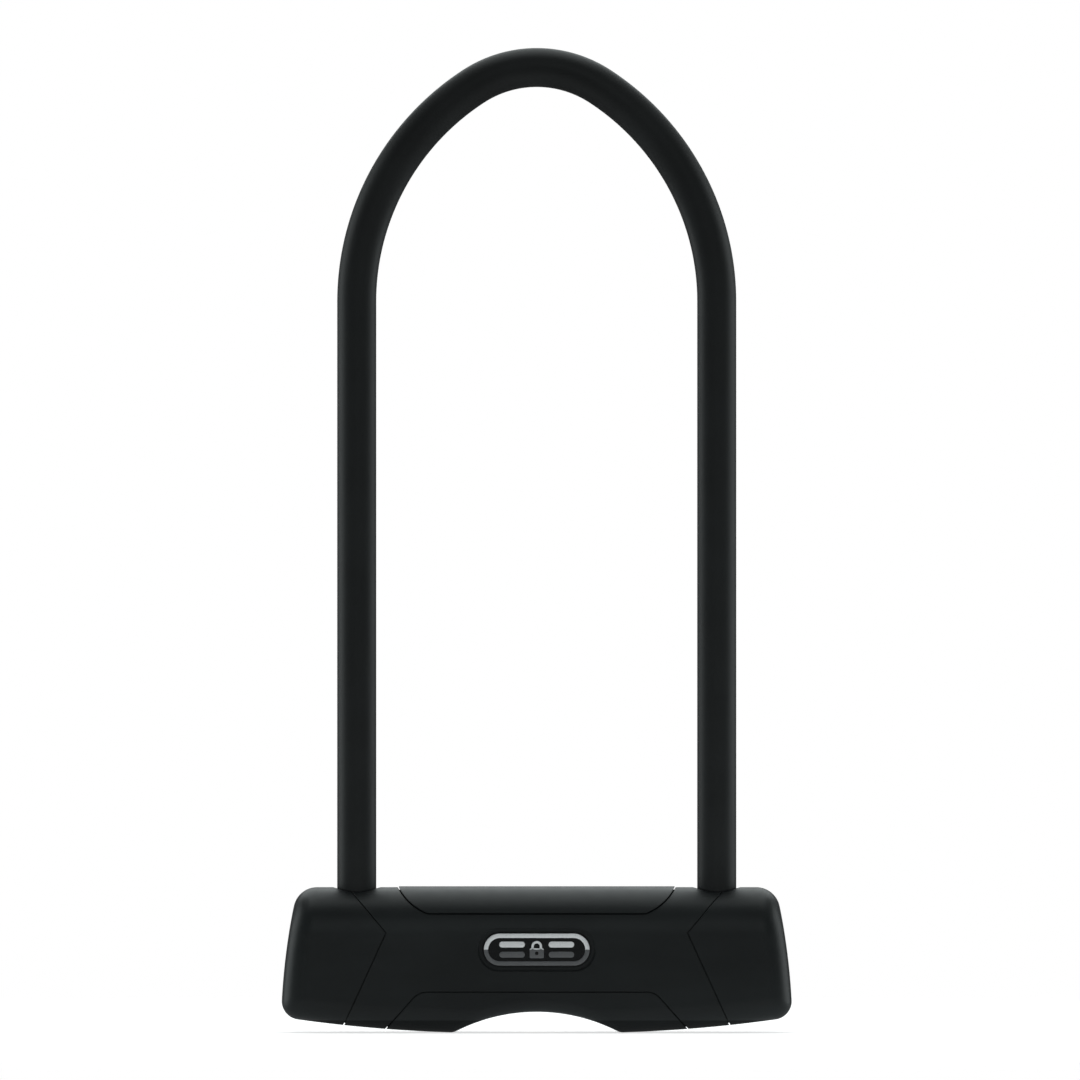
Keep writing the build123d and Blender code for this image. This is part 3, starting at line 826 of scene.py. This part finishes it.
@dataclass
class Shackle:
    """The bent bar and its coat."""

    coat_finish: DippedCoat
    bar_finish: DrawnSteel
    coat_thickness: float = 0.6 * MM
    crown_radius: float = 39.0 * MM
    arch_rise: float = 78.8 * MM
    lip: float = 0.35 * MM
    lip_steps: int = 4
    sides: int = 72
    step: float = math.radians(1.5)
    leg_rings: int = 24

    def axis(self) -> list[tuple[Vector, Vector]]:
        """Works out the bar's axis from the coat's box.

        Returns:
            Points up the left leg, over the arch and down the right leg, each with its direction.
        """
        low, high, _ = size_of("shackle_coating")
        radius = (high.y - low.y) / 2
        leg_x = high.x - radius
        spring = high.z - radius - self.arch_rise
        crown, rise = self.crown_radius, self.arch_rise - self.crown_radius
        haunch = (crown**2 - leg_x**2 - rise**2) / (2 * (crown - leg_x))
        turn = math.pi - math.atan2(rise, leg_x - haunch)
        up, down = Vector((0, 0, 1)), Vector((0, 0, -1))
        levels = [low.z + (spring - low.z) * i / self.leg_rings for i in range(self.leg_rings)]
        line = [(Vector((-leg_x, 0, z)), up) for z in levels]
        arcs = (
            (haunch - leg_x, spring, haunch, 0.0, turn),
            (0.0, spring + rise, crown, turn, math.pi - turn),
            (leg_x - haunch, spring, haunch, math.pi - turn, math.pi),
        )
        for centre_x, centre_z, bend, start, end in arcs:
            count = math.ceil((end - start) / self.step)
            for i in range(count):
                a = start + (end - start) * i / count
                spot = Vector((centre_x - bend * math.cos(a), 0, centre_z + bend * math.sin(a)))
                line.append((spot, Vector((math.sin(a), 0, math.cos(a)))))
        line.append((Vector((leg_x, 0, spring)), down))
        return line + [(Vector((leg_x, 0, z)), down) for z in reversed(levels)]

    def circle(self, centre: Vector, ahead: Vector, radius: float) -> list[Point]:
        """Places a circle square to the axis.

        Args:
            centre: The circle's centre.
            ahead: The axis's direction there.
            radius: The circle's radius.

        Returns:
            Its points.
        """
        across = Vector((0, 1, 0))
        out = across.cross(ahead)
        turns = [2 * math.pi * i / self.sides for i in range(self.sides)]
        return [tuple(centre + (out * math.cos(t) + across * math.sin(t)) * radius) for t in turns]

    def build_coat(self) -> None:
        """Builds the coat as a smooth tube with a rolled lip at each foot."""
        low, high, _ = size_of("shackle_coating")
        outer = (high.y - low.y) / 2
        inner = outer - self.coat_thickness
        line = self.axis()
        start, end = line[0], line[-1]
        near_lip, far_lip = [], []
        for i in range(self.lip_steps + 1):
            a = math.pi / 2 * i / self.lip_steps
            rise, radius = self.lip * (1 - math.cos(a)), outer - self.lip * (1 - math.sin(a))
            near_lip.append(self.circle(start[0] + start[1] * rise, start[1], radius))
            far_lip.append(self.circle(end[0] - end[1] * rise, end[1], radius))
        rings = near_lip + [self.circle(*spot, outer) for spot in line[1:-1]] + far_lip[::-1]
        rings += [self.circle(*spot, inner) for spot in reversed(line)]
        builder = MeshBuilder()
        builder.skin([builder.ring(points) for points in rings], closed=True)
        coat = builder.finish("leg_coat")
        dress(coat, self.coat_finish.build())
        stand_in(coat, "shackle_coating", "shackle")

    def build(self) -> None:
        """Builds the coat and dresses the bar."""
        self.build_coat()
        dress_nodes(("shackle_bar",), self.bar_finish.build())


# ------------------------------------------------------------------ crossbar


@dataclass
class Casing:
    """The moulded shells round the crossbar, and the rubber bushes under the legs' openings."""

    shell_finish: MouldedPlastic
    top_finish: MouldedPlastic
    key_finish: MouldedPlastic
    bush_finish: SealRubber
    shells: tuple[str, ...] = ("centre_sleeve", "left_end_cap", "right_end_cap")
    bushes: tuple[str, ...] = ("left_leg_bush", "right_leg_bush")

    def build(self) -> None:
        """Dresses the shells, the two panels and the bushes."""
        dress_nodes(self.shells, self.shell_finish.build())
        dress_nodes(("top_panel",), self.top_finish.build())
        dress_nodes(("key_surround",), self.key_finish.build())
        dress_nodes(self.bushes, self.bush_finish.build())


@dataclass
class Badge:
    """The plate in the front pocket, with its raised ring and padlock sign."""

    plate_finish: LacquerField
    trim_finish: SilverWithPaintedReflection
    rim_width: float = 1.5 * MM
    soft_edge: float = 0.3 * MM
    edge_steps: int = 4
    half_turn_points: int = 40
    sign_width: float = 4.8 * MM
    sign_body_height: float = 3.3 * MM
    sign_corner: float = 0.4 * MM
    bow_width: float = 3.6 * MM
    bow_wall: float = 0.8 * MM
    bow_sink: float = 0.4 * MM
    keyhole_radius: float = 0.6 * MM
    bar_length: float = 8.6 * MM
    bar_width: float = 2.0 * MM
    bar_pitch: float = 3.4 * MM
    trim_edge: float = 0.12 * MM
    body_points: int = 64

    def slot_outline(self, centre: Vector, length: float, radius: float) -> list[tuple[float, float]]:
        """Outline of a slot with round ends.

        Args:
            centre: Its middle.
            length: From the centre of one round end to the other.
            radius: Radius of the ends.

        Returns:
            Points as X and Z.
        """
        points = []
        for side, first in ((1, -math.pi / 2), (-1, math.pi / 2)):
            for i in range(self.half_turn_points + 1):
                a = first + math.pi * i / self.half_turn_points
                x = centre.x + side * length / 2 + radius * math.cos(a)
                points.append((x, centre.z + radius * math.sin(a)))
        return points

    def edge_profile(self, soft: float) -> list[tuple[float, float]]:
        """Quarter round at a front edge.

        Args:
            soft: Its radius.

        Returns:
            Pairs of inset and drop, from the side to the front.
        """
        turns = [math.pi / 2 * i / self.edge_steps for i in range(self.edge_steps + 1)]
        return [(soft * (1 - math.cos(a)), soft * (1 - math.sin(a))) for a in turns]

    def build_rim(self) -> bpy.types.Object:
        """Builds the ring with rounded front edges.

        Returns:
            The ring.
        """
        low, high, middle = size_of("badge_rim")
        radius = (high.z - low.z) / 2
        length = high.x - low.x - 2 * radius
        edge = self.edge_profile(self.soft_edge)
        outside = [(inset, low.y + drop) for inset, drop in edge]
        inside = [(self.rim_width - inset, low.y + drop) for inset, drop in reversed(edge)]
        profile = [(0.0, high.y), *outside, *inside, (self.rim_width, high.y)]
        builder = MeshBuilder()
        rings = []
        for inset, y in profile:
            outline = self.slot_outline(middle, length, radius - inset)
            rings.append(builder.ring([(x, y, z) for x, z in outline]))
        builder.skin(rings, closed=True)
        return builder.finish("badge_ring")

    def add_bar(self, builder: MeshBuilder, centre: Vector, front: float, back: float) -> None:
        """Adds one raised bar of the sign.

        Args:
            builder: The mesh to add to.
            centre: The bar's middle.
            front: Y of its face.
            back: Y of its root.
        """
        radius = self.bar_width / 2
        length = self.bar_length - self.bar_width
        edge = [(inset, front + drop) for inset, drop in self.edge_profile(self.trim_edge)]
        profile = [(0.0, back), *edge]
        rings = []
        for inset, y in profile:
            outline = self.slot_outline(centre, length, radius - inset)
            rings.append(builder.ring([(x, y, z) for x, z in outline]))
        builder.skin(rings)
        builder.cap(rings[0])
        builder.cap(rings[-1])

    def body_outline(self, centre: Vector, inset: float) -> list[tuple[float, float]]:
        """Outline of the padlock's body, at even angles about its keyhole.

        Args:
            centre: The body's middle.
            inset: How far it is pulled in.

        Returns:
            Points as X and Z.
        """
        half_x, half_z = self.sign_width / 2 - inset, self.sign_body_height / 2 - inset
        corner = self.sign_corner - inset
        points = []
        for i in range(self.body_points):
            a = 2 * math.pi * i / self.body_points
            across, up = math.cos(a), math.sin(a)
            reach = min(half_x / max(abs(across), TINY), half_z / max(abs(up), TINY))
            x, z = across * reach, up * reach
            over_x, over_z = abs(x) - (half_x - corner), abs(z) - (half_z - corner)
            if over_x > 0 and over_z > 0:
                pull = corner / math.hypot(over_x, over_z)
                x = math.copysign(half_x - corner + over_x * pull, x)
                z = math.copysign(half_z - corner + over_z * pull, z)
            points.append((centre.x + x, centre.z + z))
        return points

    def add_body(self, builder: MeshBuilder, centre: Vector, front: float, back: float) -> None:
        """Adds the padlock's body, with its keyhole through it.

        Args:
            builder: The mesh to add to.
            centre: The body's middle.
            front: Y of its face.
            back: Y of its root.
        """
        edge = self.edge_profile(self.trim_edge)
        rings = [builder.ring([(x, back, z) for x, z in self.body_outline(centre, 0.0)])]
        for inset, drop in edge:
            rings.append(builder.ring([(x, front + drop, z) for x, z in self.body_outline(centre, inset)]))
        turns = [2 * math.pi * i / self.body_points for i in range(self.body_points)]
        radius = self.keyhole_radius
        hole = [(centre.x + radius * math.cos(a), centre.z + radius * math.sin(a)) for a in turns]
        for y in (front, back):
            rings.append(builder.ring([(x, y, z) for x, z in hole]))
        builder.skin(rings, closed=True)

    def add_bow(self, builder: MeshBuilder, foot_z: float, top_z: float, front: float, back: float) -> None:
        """Adds the padlock's bow as an arch standing on its body.

        Args:
            builder: The mesh to add to.
            foot_z: Level of the bow's feet.
            top_z: Level of the bow's top.
            front: Y of its face.
            back: Y of its root.
        """
        edge = self.edge_profile(self.trim_edge)
        outside = [(-inset, front + drop) for inset, drop in edge]
        inside = [(inset - self.bow_wall, front + drop) for inset, drop in reversed(edge)]
        profile = [(0.0, back), *outside, *inside, (-self.bow_wall, back)]
        outer = self.bow_width / 2
        centre_z = top_z - outer
        quarter_points = self.half_turn_points // 2
        sections = []
        for side in (-1, 1):
            foot = [(side * (outer + shift), y, foot_z) for shift, y in profile]
            arc = []
            for i in range(quarter_points + 1):
                a = math.pi / 2 * i / quarter_points
                x, z = side * math.cos(a), math.sin(a)
                arc.append([((outer + s) * x, y, centre_z + (outer + s) * z) for s, y in profile])
            sections += [foot, *arc] if side < 0 else [*arc[-2::-1], foot]
        rings = [builder.ring(points) for points in sections]
        builder.skin(rings)
        builder.cap(rings[0])
        builder.cap(rings[-1])

    def build_sign(self) -> bpy.types.Object:
        """Builds the padlock between its two pairs of bars.

        Returns:
            The sign.
        """
        low, high, middle = size_of("badge_emblem")
        builder = MeshBuilder()
        bar_x = (high.x - low.x - self.bar_length) / 2
        for side_x in (-1, 1):
            for side_z in (-1, 1):
                shift = Vector((side_x * bar_x, 0, side_z * self.bar_pitch / 2))
                self.add_bar(builder, middle + shift, low.y, high.y)
        body = Vector((middle.x, middle.y, low.z + self.sign_body_height / 2))
        self.add_body(builder, body, low.y, high.y)
        foot_z = low.z + self.sign_body_height - self.bow_sink
        self.add_bow(builder, foot_z, high.z, low.y, high.y)
        return builder.finish("badge_sign")

    def build(self) -> None:
        """Builds the raised trim and dresses the plate."""
        trim = self.trim_finish.build()
        for piece, node in ((self.build_rim(), "badge_rim"), (self.build_sign(), "badge_emblem")):
            dress(piece, trim)
            stand_in(piece, node, "crossbar")
        dress_nodes(("badge_plate",), self.plate_finish.build())


@dataclass
class CrossbarCore:
    """The hardened tube and what is fixed in it."""

    tube_finish: DrawnSteel
    casting_finish: CastAlloy
    pin_finish: DrawnSteel
    tube: tuple[str, ...] = ("crossbar_tube", "left_tube_plug", "right_tube_plug")
    castings: tuple[str, ...] = ("left_foot_block", "right_foot_block", "lock_carrier")
    pins: tuple[str, ...] = ("cap_pins", "carrier_pins")

    def build(self) -> None:
        """Dresses the tube, the castings and the pins."""
        dress_nodes(self.tube, self.tube_finish.build())
        dress_nodes(self.castings, self.casting_finish.build())
        dress_nodes(self.pins, self.pin_finish.build())


# ------------------------------------------------------------------ lock


@dataclass
class Cylinder:
    """The lock cylinder and the cam that it turns."""

    housing_finish: TurnedMetal
    core_finish: TurnedMetal
    disc_finish: TurnedMetal
    steel_finish: TurnedMetal
    clip_finish: DrawnSteel
    steel: tuple[str, ...] = (
        "shutter_retainer",
        "disc_spacers",
        "core_tail",
        "drive_cam",
        "keyway_shutter",
        "side_bar",
    )

    def build(self) -> None:
        """Dresses every piece of the cylinder."""
        dress_nodes(("cylinder_housing",), self.housing_finish.build())
        dress_nodes(("cylinder_core",), self.core_finish.build())
        dress_nodes(("lock_discs",), self.disc_finish.build())
        dress_nodes(self.steel, self.steel_finish.build())
        dress_nodes(("core_clip",), self.clip_finish.build())


@dataclass
class ShutterSpring:
    """The coil spring that pushes the keyway's shutter shut, and in the real lock shortens as a key pushes
    it open.
    """

    wire_finish: DrawnSteel
    wire: float = 0.2 * MM
    turns: int = 3
    steps_per_turn: int = 20
    wire_sides: int = 8

    def section(self, centre: Vector, out: Vector, ahead: Vector) -> list[Point]:
        """Places the wire's round section square to its run.

        Args:
            centre: The wire's centre there.
            out: Direction away from the coil's axis.
            ahead: Direction that the wire runs in.

        Returns:
            The section's points.
        """
        across = ahead.cross(out).normalized()
        turns = [2 * math.pi * i / self.wire_sides for i in range(self.wire_sides)]
        return [tuple(centre + (out * math.cos(t) + across * math.sin(t)) * self.wire / 2) for t in turns]

    def build(self) -> None:
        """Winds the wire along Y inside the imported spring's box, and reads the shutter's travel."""
        low, high, middle = size_of("shutter_spring")
        coil = (high.x - low.x - self.wire) / 2
        length = high.y - low.y
        rise = length - self.wire
        slope = rise / (2 * math.pi * self.turns)
        steps = self.turns * self.steps_per_turn
        builder = MeshBuilder()
        rings = []
        for i in range(steps + 1):
            a = 2 * math.pi * self.turns * i / steps
            out = Vector((math.cos(a), 0, math.sin(a)))
            ahead = Vector((-coil * math.sin(a), slope, coil * math.cos(a)))
            spot = Vector((middle.x, low.y + self.wire / 2 + slope * a, middle.z)) + out * coil
            rings.append(builder.ring(self.section(spot, out, ahead)))
        builder.skin(rings)
        builder.cap(rings[0])
        builder.cap(rings[-1])
        wound = builder.finish("wound_spring")
        dress(wound, self.wire_finish.build())
        stand_in(wound, "shutter_spring", "cylinder_core")
        joints = frame["record"]["behaviour"]["joints"]
        travel = next(joint["range_m"][1] for joint in joints if joint["name"] == "shutter_slide")
        1 - travel / length
        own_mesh(wound)


@dataclass
class Bolts:
    """The two bolts and the pins that the cam drives them by."""

    bolt_finish: DrawnSteel
    pin_finish: TurnedMetal
    bolts: tuple[str, ...] = ("left_bolt", "right_bolt")
    pins: tuple[str, ...] = ("left_bolt_pin", "right_bolt_pin")

    def build(self) -> None:
        """Dresses the bolts and their pins."""
        dress_nodes(self.bolts, self.bolt_finish.build())
        dress_nodes(self.pins, self.pin_finish.build())


# ------------------------------------------------------------------ studio


@dataclass(frozen=True)
class Softbox:
    """A large soft light, aimed at the middle of the lock unless told otherwise."""

    name: str
    place: Point
    width: float
    height: float
    brightness: float
    aim: Point = (0.0, 0.0, 165.0 * MM)
    colour: Colour = (0.93, 1.0, 1.0)

    def build(self) -> None:
        """Sets up the light."""
        lamp = bpy.data.lights.new(self.name, "AREA")
        lamp.shape = "RECTANGLE"
        lamp.size, lamp.size_y = self.width, self.height
        lamp.color = self.colour
        lamp.energy = self.brightness * math.pi * self.width * self.height
        holder = bpy.data.objects.new(self.name, lamp)
        bpy.context.scene.collection.objects.link(holder)
        holder.location = self.place
        holder.rotation_euler = (Vector(self.aim) - holder.location).to_track_quat("-Z", "Y").to_euler()
        holder.visible_camera = False


@dataclass
class Studio:
    """Pale floor, white surround, soft lights and the camera."""

    lights: tuple[Softbox, ...]
    view_centre: Point = (1.1 * MM, 0.0, 165.7 * MM)
    view_width: float = 363.7 * MM
    distance: float = 10.0
    sensor: float = 36.0
    surround: float = 1.0
    ambient: float = 0.1
    floor_radius: float = 2.4
    floor_clear: tuple[float, float] = (0.22, 0.8)
    floor_tone: float = 0.9
    floor_glow: float = 0.7
    floor_roughness: float = 0.9
    floor_sides: int = 96

    def build_floor(self) -> None:
        """Builds the floor, which fades into the surround."""
        builder = MeshBuilder()
        radius = self.floor_radius
        turns = [2 * math.pi * i / self.floor_sides for i in range(self.floor_sides)]
        builder.cap(builder.ring([(radius * math.cos(a), radius * math.sin(a), 0.0) for a in turns]))
        floor = builder.finish("floor")
        shader = Shader("pale_floor")
        clear = shader.radius(Axis.Z, (0.0, 0.0, 0.0)).between(*self.floor_clear)
        tone = scaled(WHITE, self.floor_tone)
        material = shader.finish(
            Base_Color=tone,
            Roughness=self.floor_roughness,
            Emission_Color=tone,
            Emission_Strength=self.floor_glow,
            Alpha=1 - clear,
        )
        dress(floor, material)
        floor.visible_glossy = False

    def build_surround(self) -> None:
        """Sets the world white where it is seen, and dim where it only lights the lock."""
        world = bpy.data.worlds.new("surround")
        bpy.context.scene.world = world
        nodes = NodeTree(world)
        seen = nodes.node("ShaderNodeLightPath", output="Is Camera Ray")
        dim, bright = (
            nodes.node("ShaderNodeBackground", inputs={"Color": WHITE, "Strength": strength})
            for strength in (self.ambient, self.surround)
        )
        choice = nodes.node("ShaderNodeMixShader", inputs={0: seen, 1: dim, 2: bright})
        nodes.add("ShaderNodeOutputWorld", inputs={"Surface": choice})

    def build_camera(self) -> None:
        """Sets up a long-lens camera square to the front."""
        lens = bpy.data.cameras.new("camera")
        lens.sensor_width = self.sensor
        lens.lens = self.sensor * self.distance / self.view_width
        camera = bpy.data.objects.new("camera", lens)
        bpy.context.scene.collection.objects.link(camera)
        camera.location = Vector(self.view_centre) - Vector((0, self.distance, 0))
        camera.rotation_euler = (math.pi / 2, 0.0, 0.0)
        lens.clip_end = 2 * self.distance
        bpy.context.scene.camera = camera

    def build(self) -> None:
        """Builds the whole studio."""
        bpy.context.scene.view_settings.view_transform = "Standard"
        self.build_floor()
        self.build_surround()
        for light in self.lights:
            light.build()
        self.build_camera()


# ------------------------------------------------------------------ assembly


def make_pieces() -> list[Any]:
    """Lists the lock's sub-assemblies with their finishes.

    Returns:
        The sub-assemblies, in the order they are built.
    """
    black = (0.0088, 0.0112, 0.0118)
    coat_black = (0.0105, 0.0125, 0.013)
    rubber_black = (0.012, 0.012, 0.012)
    lacquer_black = (0.004, 0.0045, 0.005)
    # silver and slate: the bright upper and dark lower halves of the badge trim's painted reflection
    silver = (0.8, 0.82, 0.83)
    slate = (0.13, 0.135, 0.14)
    zinc = (0.5, 0.5, 0.5)
    tube_zinc = (0.38, 0.39, 0.41)
    alloy = (0.52, 0.53, 0.54)
    pin_black = (0.12, 0.12, 0.125)
    hard_steel = (0.33, 0.335, 0.35)
    spring_steel = (0.6, 0.6, 0.61)
    ground_steel = (0.56, 0.56, 0.57)
    pale_brass, pale_tarnish = (0.72, 0.6, 0.4), (0.42, 0.36, 0.27)
    brass, brass_tarnish = (0.75, 0.55, 0.26), (0.45, 0.3, 0.13)
    disc_brass, disc_tarnish = (0.78, 0.6, 0.32), (0.5, 0.36, 0.18)
    spring_line = 0.05 * MM
    return [
        Shackle(
            coat_finish=DippedCoat("coat_black", coat_black),
            bar_finish=DrawnSteel("bar_zinc", zinc, Axis.Z),
        ),
        Casing(
            shell_finish=MouldedPlastic("casing_black", black),
            top_finish=MouldedPlastic("top_panel_black", scaled(black, 1.05)),
            key_finish=MouldedPlastic("key_surround_black", black),
            bush_finish=SealRubber("bush_rubber", rubber_black),
        ),
        Badge(
            plate_finish=LacquerField("badge_lacquer", lacquer_black),
            trim_finish=SilverWithPaintedReflection("badge_silver_painted_reflection", silver, slate, reflection_level=badge_level()),
        ),
        CrossbarCore(
            tube_finish=DrawnSteel("tube_zinc", tube_zinc, Axis.X, edge=0.4 * MM),
            casting_finish=CastAlloy("cast_alloy", alloy),
            pin_finish=DrawnSteel("pin_black", pin_black, Axis.Z, roughness=0.4),
        ),
        Cylinder(
            housing_finish=TurnedMetal("housing_brass", pale_brass, pale_tarnish),
            core_finish=TurnedMetal("core_brass", brass, brass_tarnish),
            disc_finish=TurnedMetal("disc_brass", disc_brass, disc_tarnish, roughness=0.34),
            steel_finish=TurnedMetal("hard_steel", hard_steel, scaled(hard_steel, 0.5), roughness=0.32),
            clip_finish=DrawnSteel("clip_steel", spring_steel, Axis.Y, roughness=0.22, line=spring_line),
        ),
        ShutterSpring(
            wire_finish=DrawnSteel("spring_wire", spring_steel, Axis.Y, roughness=0.22, line=spring_line)
        ),
        Bolts(
            bolt_finish=DrawnSteel("bolt_ground", ground_steel, Axis.X, roughness=0.22, edge=0.2 * MM),
            pin_finish=TurnedMetal("bolt_pin_steel", hard_steel, scaled(hard_steel, 0.6), roughness=0.3),
        ),
    ]


def badge_level() -> float:
    """Returns the level of the badge's middle."""
    return size_of("badge_rim")[2].z


def make_lights() -> tuple[Softbox, ...]:
    """Lists the studio's lights.

    Returns:
        The lights.
    """
    sides = (
        Softbox(name, place=(x, 0.35, 0.35), width=1.0, height=1.3, brightness=1.6)
        for name, x in (("left_light", -1.3), ("right_light", 1.3))
    )
    up = (0.0, -0.32, 1.0)
    return (
        *sides,
        Softbox("back_light", place=(0.0, 1.3, 1.2), width=1.8, height=1.3, brightness=1.5),
        Softbox("top_light", place=(0.0, 0.25, 1.5), width=1.3, height=1.0, brightness=1.5),
        Softbox("floor_bounce", place=(0.0, -0.32, 0.004), width=1.6, height=0.7, brightness=0.22, aim=up),
        Softbox("front_fill", place=(0.3, -2.2, 1.3), width=1.6, height=1.2, brightness=0.6),
    )


def main() -> None:
    """Builds the lock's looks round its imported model."""
    logging.basicConfig(level=logging.INFO, format="%(message)s")
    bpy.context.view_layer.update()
    for piece in make_pieces():
        piece.build()
        LOG.info("built %s", type(piece).__name__)
    Studio(make_lights()).build()
    LOG.info("built the studio")


if __name__ == "__main__":
    main()
